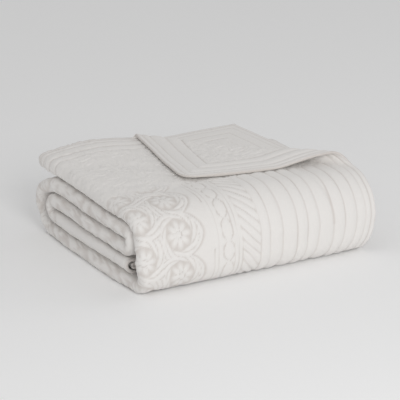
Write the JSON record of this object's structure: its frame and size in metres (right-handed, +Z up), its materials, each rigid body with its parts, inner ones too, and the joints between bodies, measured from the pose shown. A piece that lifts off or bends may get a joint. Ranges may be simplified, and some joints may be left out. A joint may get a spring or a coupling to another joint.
{
  "type": "folded quilted throw",
  "caption": "Thick quilted throw folded into a flat rectangular stack, its clean folds on the left and one top rear corner turned over to show the reverse.",
  "frame": {"origin": "centre of the bounding box, at the height of the surface that the throw lies on", "axes": "+X along the long side, towards the side hems; +Y to the rear, where the end hem is; +Z up"},
  "size_m": [0.422, 0.3704, 0.1469],
  "materials": {
    "quilted_cotton": "matt washed cotton, quilted in channels and bands"
  },
  "bodies": {
    "root": {"throw": "quilted_cotton"}
  },
  "joints": []
}
